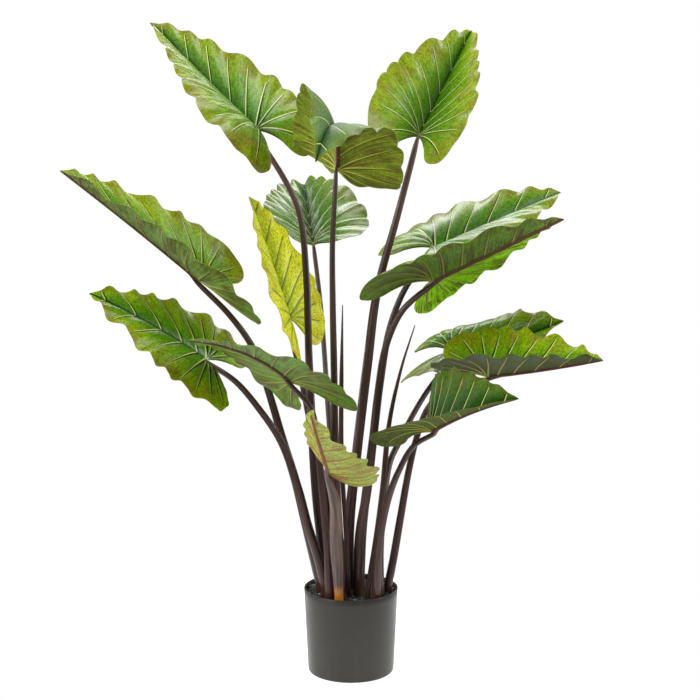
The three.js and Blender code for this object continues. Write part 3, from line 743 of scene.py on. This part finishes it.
def finished(name, mesh, sharp_angle):
    """An object of the mesh, smooth but for edges sharper than the angle, riding on the root."""
    piece = bpy.data.objects.new(name, mesh)
    bpy.context.scene.collection.objects.link(piece)
    bpy.ops.object.select_all(action="DESELECT")
    bpy.context.view_layer.objects.active = piece
    piece.select_set(True)
    bpy.ops.object.shade_smooth_by_angle(angle=math.radians(sharp_angle))
    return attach(piece, "root")


# Stalks and rolled leaves
def tube(name, centres, radii, toward, groove):
    """Closed tube through the centres, with a groove on the side that faces toward."""
    centres = np.asarray(centres, float)
    steps = np.gradient(centres, axis=0)
    steps /= np.linalg.norm(steps, axis=1)[:, None]
    run = np.concatenate([[0], np.cumsum(np.linalg.norm(np.diff(centres, axis=0), axis=1))])
    angles = np.linspace(0, 2 * math.pi, STALK_SIDES, endpoint=False)
    off = np.minimum(angles, 2 * math.pi - angles)
    cross_section = -np.exp(-(off / 0.3) ** 2) + 0.35 * np.exp(-((off - 0.75) / 0.25) ** 2)
    points, grain, rise = [], [], []
    aside = np.asarray(toward, float)
    for centre, step, radius, length in zip(centres, steps, radii, run):
        aside = aside - step * aside.dot(step)
        aside = aside / np.linalg.norm(aside)
        other = np.cross(step, aside)
        depth = groove * (1 - 0.75 * length / run[-1])
        reach = radius * (1 + depth * cross_section)
        ring = (centre + np.outer(reach * np.cos(angles), aside)
                + np.outer(reach * np.sin(angles), other))
        points.append(ring)
        grain.append(MM * np.stack([GRAIN_RADIUS * np.cos(angles), GRAIN_RADIUS * np.sin(angles),
                                    np.full(STALK_SIDES, length)], -1))
        rise.append(np.full(STALK_SIDES, length / run[-1]))
    points = np.vstack([*points, centres[:1], centres[-1:]])
    grain = np.vstack([*grain, [[0, 0, 0], [0, 0, run[-1] * MM]]])
    rise = np.concatenate([*rise, [0, 1]])
    faces = []
    rings = len(centres)
    for r in range(rings - 1):
        for s in range(STALK_SIDES):
            a, b = r * STALK_SIDES + s, r * STALK_SIDES + (s + 1) % STALK_SIDES
            faces.append([a, b, b + STALK_SIDES, a + STALK_SIDES])
    bottom = rings * STALK_SIDES
    for s in range(STALK_SIDES):
        after = (s + 1) % STALK_SIDES
        end = (rings - 1) * STALK_SIDES
        faces.append([bottom, after, s])
        faces.append([bottom + 1, end + s, end + after])
    mesh = bpy.data.meshes.new(name)
    mesh.from_pydata(points * MM, [], faces)
    mesh.attributes.new("grain", "FLOAT_VECTOR", "POINT").data.foreach_set("vector", grain.ravel())
    keep_number(mesh, "rise", rise)
    return finished(name, mesh, 60)


def stem(foot, route, radii):
    """Centres and radii of a stem that comes straight out of the soil and then takes its route."""
    low = np.array([*foot, SOIL_HEIGHT - STALK_DEPTH], float)
    start = np.array([*foot, SOIL_HEIGHT + STALK_STRAIGHT], float)
    shares = np.linspace(0, 1, STALK_RINGS)
    centres = np.vstack([low, (low + start) / 2, along_line(smooth_line([start, *route]), shares)])
    above = np.interp(shares, np.linspace(0, 1, len(radii)), radii)
    return centres, np.concatenate([[radii[0]] * 2, above])


def make_stalk(name, leaf):
    """Stalk up to the blade, running on as a taper under the midrib."""
    neck = leaf["radii"][-1]
    tail = np.array([0, 7, 16, 32.0])
    tail_radii = np.array([neck, 0.85 * neck, 0.6 * neck, 0.5])
    depth = tail_radii + (0.6, 0.4, 0.3, 0.7)
    place, face, right = midrib_at(leaf, blade_frame(leaf), tail)
    lean = math.radians(leaf["fold"][0] - leaf["fold"][1]) / 2
    under = place + (right * math.sin(lean) - face * math.cos(lean)) * depth[:, None]
    centres, radii = stem(leaf["foot"], [*leaf["route"], under[0]], leaf["radii"])
    bend = along_line(smooth_line([centres[-4], *under]), np.linspace(0.25, 1, TAIL_RINGS))
    taper = np.interp(np.linspace(0, 1, TAIL_RINGS), [0, 0.2, 0.45, 1], tail_radii)
    centres = np.vstack([centres[:-3], bend])
    radii = np.concatenate([radii[:-3], taper])
    inward = (-leaf["foot"][0], -leaf["foot"][1], 0)
    return tube(f"petiole_{name}", centres, radii, inward, STALK_GROOVE)


def make_spear(name, spear):
    centres, radii = stem(spear["foot"], spear["route"], spear["radii"])
    return tube(f"rolled_leaf_{name}", centres, radii, (0, -1, 0), SPEAR_GROOVE)


# Planter and soil
def make_pot():
    """Planter: a filled circle drawn up ring by ring into a thin wall, then down again inside."""
    bpy.ops.object.select_all(action="DESELECT")
    bpy.ops.mesh.primitive_circle_add(vertices=POT_SIDES, radius=(BASE_RADIUS - BASE_ROUNDING) * MM,
                                      fill_type="NGON", location=(0, 0, 0))
    pot = bpy.context.object
    pot.name = "planter"
    profile = []
    for i in range(1, ROUNDING_STEPS + 1):
        angle = math.pi / 2 * i / ROUNDING_STEPS
        profile.append((BASE_RADIUS - BASE_ROUNDING * (1 - math.sin(angle)),
                        BASE_ROUNDING * (1 - math.cos(angle))))
    for i in range(1, WALL_STEPS):
        share = i / WALL_STEPS
        profile.append((BASE_RADIUS + (RIM_RADIUS - BASE_RADIUS) * share, POT_HEIGHT * share))
    profile += [(RIM_RADIUS, POT_HEIGHT - LIP), (RIM_RADIUS - 0.25 * LIP, POT_HEIGHT - 0.25 * LIP),
                (RIM_RADIUS - LIP, POT_HEIGHT), (RIM_RADIUS - WALL + 0.6, POT_HEIGHT),
                (RIM_RADIUS - WALL + 0.15, POT_HEIGHT - 0.15),
                (RIM_RADIUS - WALL, POT_HEIGHT - 0.6),
                (RIM_RADIUS - WALL - 0.4, SOIL_HEIGHT - 2),
                (BASE_RADIUS - WALL, FLOOR_THICKNESS)]
    bpy.ops.object.mode_set(mode="EDIT")
    bpy.ops.mesh.select_all(action="SELECT")
    radius, height = BASE_RADIUS - BASE_ROUNDING, 0.0
    for next_radius, next_height in profile:
        bpy.ops.mesh.extrude_region_move(
            TRANSFORM_OT_translate={"value": (0, 0, (next_height - height) * MM)})
        factor = next_radius / radius
        bpy.ops.transform.resize(value=(factor, factor, 1), center_override=(0, 0, 0))
        radius, height = next_radius, next_height
    bpy.ops.mesh.select_all(action="SELECT")
    bpy.ops.mesh.normals_make_consistent(inside=False)
    bpy.ops.object.mode_set(mode="OBJECT")
    bpy.ops.object.shade_smooth_by_angle(angle=math.radians(35))
    pot.data.materials.append(pot_material())
    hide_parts("pot")
    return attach(pot, "root")


def soil_top(x, y):
    heaps = np.sin(0.13 * x + 0.6) * np.cos(0.11 * y) + 0.6 * np.sin(0.24 * y + 0.17 * x)
    return SOIL_HEIGHT + SOIL_RELIEF * heaps


def make_soil_filling(rng, outer):
    """Soil: one closed filling with an uneven top."""
    bpy.ops.object.select_all(action="DESELECT")
    bpy.ops.mesh.primitive_circle_add(vertices=SOIL_SIDES, radius=outer * MM, fill_type="NGON",
                                      location=(0, 0, 0))
    soil = bpy.context.object
    soil.name = "soil_filling"
    bpy.ops.object.mode_set(mode="EDIT")
    bpy.ops.mesh.select_all(action="SELECT")
    for _ in range(SOIL_RINGS):
        bpy.ops.mesh.inset(thickness=SOIL_RING_WIDTH * MM)
    bpy.ops.object.mode_set(mode="OBJECT")
    mesh = soil.data
    for vertex in mesh.vertices:
        x, y = vertex.co.x / MM, vertex.co.y / MM
        vertex.co.z = float(soil_top(x, y)) * MM + rng.uniform(-0.4, 0.4) * MM
    border = [e for e in mesh.edges if all(
        math.hypot(mesh.vertices[v].co.x, mesh.vertices[v].co.y) > (outer - 0.2) * MM
        for v in e.vertices)]
    for element in (*mesh.vertices, *mesh.edges, *mesh.polygons):
        element.select = False
    for edge in border:
        edge.select = True
        for v in edge.vertices:
            mesh.vertices[v].select = True
    bpy.ops.object.mode_set(mode="EDIT")
    bpy.ops.mesh.select_mode(type="EDGE")
    bottom = FLOOR_THICKNESS + GAP
    factor = (BASE_RADIUS - WALL - GAP) / outer
    bpy.ops.mesh.extrude_region_move(
        TRANSFORM_OT_translate={"value": (0, 0, (bottom - SOIL_HEIGHT) * MM)})
    bpy.ops.transform.resize(value=(factor, factor, 0), center_override=(0, 0, bottom * MM))
    bpy.ops.mesh.edge_face_add()
    bpy.ops.mesh.select_all(action="SELECT")
    bpy.ops.mesh.normals_make_consistent(inside=False)
    bpy.ops.object.mode_set(mode="OBJECT")
    keep_number(mesh, "tone", [rng.uniform(0, 0.35) for _ in mesh.vertices])
    return soil


def crumb_shape(rng):
    """Corners and faces of one crumb: a ball, squashed and with its sides knocked flat."""
    bpy.ops.object.select_all(action="DESELECT")
    bpy.ops.mesh.primitive_ico_sphere_add(subdivisions=2, radius=1)
    crumb = bpy.context.object
    scale = np.array([rng.uniform(0.8, 1.3), rng.uniform(0.7, 1.0), rng.uniform(0.45, 0.8)])
    places = np.array([v.co for v in crumb.data.vertices])
    for _ in range(CRUMB_CUTS):
        direction = np.array([rng.gauss(0, 1) for _ in range(3)])
        direction /= np.linalg.norm(direction)
        beyond = np.maximum(0, places @ direction - CRUMB_CUT_PLACE)
        places = places - beyond[:, None] * direction
    faces = [list(p.vertices) for p in crumb.data.polygons]
    bpy.data.objects.remove(crumb)
    return places * scale, faces


def make_crumbs(rng, outer):
    """Crumbs: copies of a few shapes strewn over the soil, clear of the stems and of the wall."""
    shapes = [crumb_shape(rng) for _ in range(CRUMB_SHAPES)]
    feet = [(grown["foot"], grown["radii"][0]) for grown in (*LEAVES.values(), *SPEARS.values())]
    points, faces, tones = [], [], []
    count = 0
    for _ in range(CRUMBS):
        angle, radius = rng.uniform(0, 2 * math.pi), outer * math.sqrt(rng.random())
        x, y = radius * math.cos(angle), radius * math.sin(angle)
        size = rng.choice(CRUMB_SIZES) * rng.uniform(0.8, 1.15)
        if radius + size > outer - 0.3:
            continue
        if any(math.hypot(x - fx, y - fy) < r + 0.2 for (fx, fy), r in feet):
            continue
        shape, rings = shapes[rng.randrange(CRUMB_SHAPES)]
        spin, tip = rng.uniform(0, 2 * math.pi), rng.uniform(-0.6, 0.6)
        turn = np.array(Matrix.Rotation(spin, 3, "Z") @ Matrix.Rotation(tip, 3, "X"))
        centre = np.array([x, y, float(soil_top(x, y)) + 0.35 * size])
        points.append(shape @ turn.T * size + centre)
        faces += [[i + count for i in ring] for ring in rings]
        tones += [rng.random()] * len(shape)
        count += len(shape)
    mesh = bpy.data.meshes.new("soil_crumbs")
    mesh.from_pydata(np.vstack(points) * MM, [], faces)
    keep_number(mesh, "tone", tones)
    return finished("soil_crumbs", mesh, 55)


def make_soil(rng):
    """Soil and the crumbs on it, in one material."""
    outer = RIM_RADIUS - WALL - GAP - 0.7
    coat = soil_material()
    soil = make_soil_filling(rng, outer)
    soil.data.materials.append(coat)
    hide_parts("soil")
    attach(soil, "root")
    crumbs = make_crumbs(rng, outer)
    crumbs.data.materials.append(coat)


def make_plant():
    for i, (name, leaf) in enumerate(LEAVES.items()):
        blade = make_blade(name, leaf)
        blade.data.materials.append(leaf_material(name, LOOKS[name], i + 1))
        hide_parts(f"leaf_{name}")
        stalk = make_stalk(name, leaf)
        tones = dict(foot="#b8741a", body="#6a5040") if name == "14" else {}
        stalk.data.materials.append(stalk_material(name, PALE_TOPS.get(name, PALE_TOP), **tones))
        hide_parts(f"stalk_{name}")
    for name, spear in SPEARS.items():
        piece = make_spear(name, spear)
        piece.data.materials.append(stalk_material(f"rolled {name}", 0.3, body="#4b3128"))
        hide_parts(f"spear_{name}")


make_camera()
make_floor()
make_light()
make_pot()
make_soil(random.Random(7))
make_plant()
